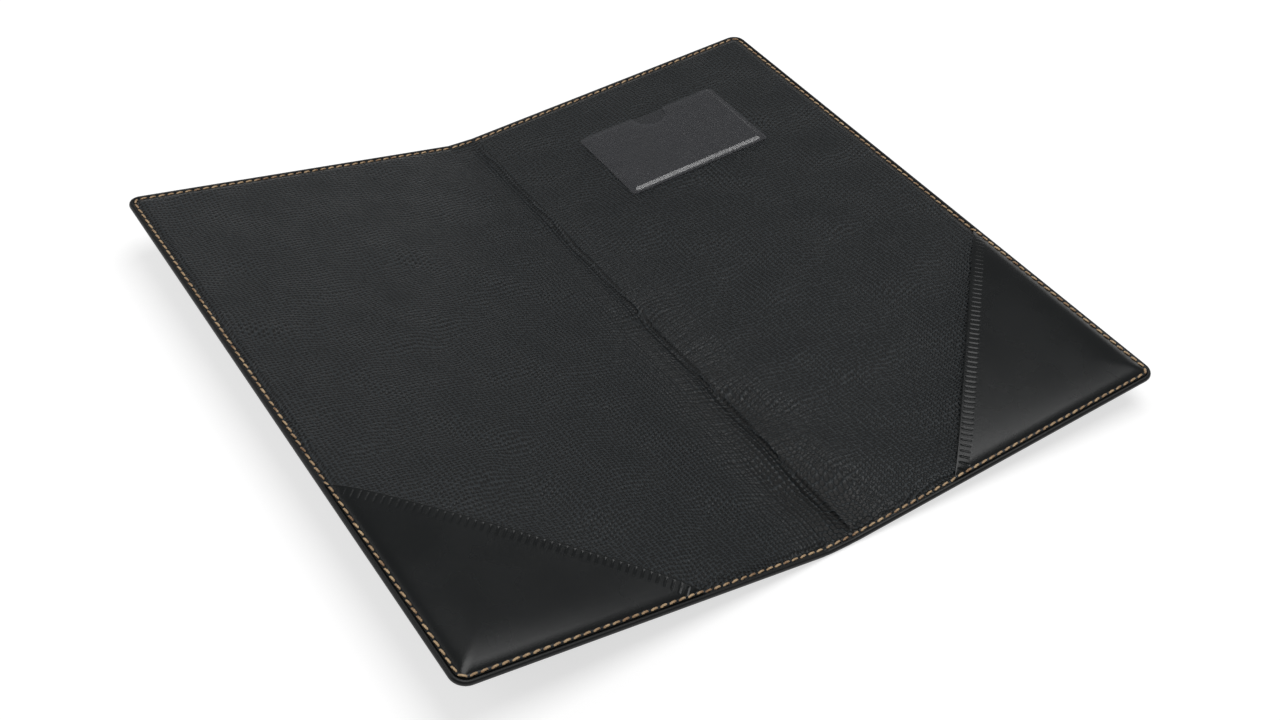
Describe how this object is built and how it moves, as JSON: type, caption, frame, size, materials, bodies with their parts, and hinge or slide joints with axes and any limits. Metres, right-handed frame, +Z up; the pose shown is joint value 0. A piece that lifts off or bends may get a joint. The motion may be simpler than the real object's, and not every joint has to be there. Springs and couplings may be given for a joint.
{
  "type": "cheque presenter",
  "caption": "Cheque presenter: leatherette covers hinged on a soft spine, with diagonal corner pockets, a clear card pocket and a tan edge seam, lying open.",
  "frame": {"origin": "centre of the spine's back face, which the open presenter stands on", "axes": "+X across the covers towards the one with the card pocket, +Y along the spine towards the end with the card pocket, +Z up out of the lining"},
  "size_m": [0.2651, 0.243, 0.0229],
  "materials": {
    "outer_leatherette": "black leatherette with a fine grain, satin",
    "lining_leatherette": "black leatherette embossed with a lizard grain, satin",
    "pocket_leatherette": "smooth black leatherette, satin",
    "grey_board": "matte solid greyboard",
    "clear_film": "clear glossy film",
    "tan_thread": "twisted tan sewing thread with a soft sheen"
  },
  "bodies": {
    "spine": {"outer_cover_spine": "outer_leatherette", "lining_spine": "lining_leatherette", "needle_thread_spine_top": "tan_thread", "needle_thread_spine_bottom": "tan_thread", "bobbin_thread_spine_top": "tan_thread", "bobbin_thread_spine_bottom": "tan_thread"},
    "right_cover": {"outer_cover_right": "outer_leatherette", "board_right": "grey_board", "lining_right": "lining_leatherette", "corner_pocket_right": "pocket_leatherette", "needle_thread_right": "tan_thread", "bobbin_thread_right": "tan_thread", "card_pocket": "clear_film"},
    "left_cover": {"outer_cover_left": "outer_leatherette", "board_left": "grey_board", "lining_left": "lining_leatherette", "corner_pocket_left": "pocket_leatherette", "needle_thread_left": "tan_thread", "bobbin_thread_left": "tan_thread"}
  },
  "joints": [
    {"name": "right_cover_fold", "type": "hinge", "parent": "spine", "child": "right_cover", "pos_m": [0.00505, 0, 0.00172], "axis": [0, -1, 0], "range_deg": [-5, 85]},
    {"name": "left_cover_fold", "type": "hinge", "parent": "spine", "child": "left_cover", "pos_m": [-0.00505, 0, 0.00172], "axis": [0, 1, 0], "range_deg": [-9, 81]}
  ]
}
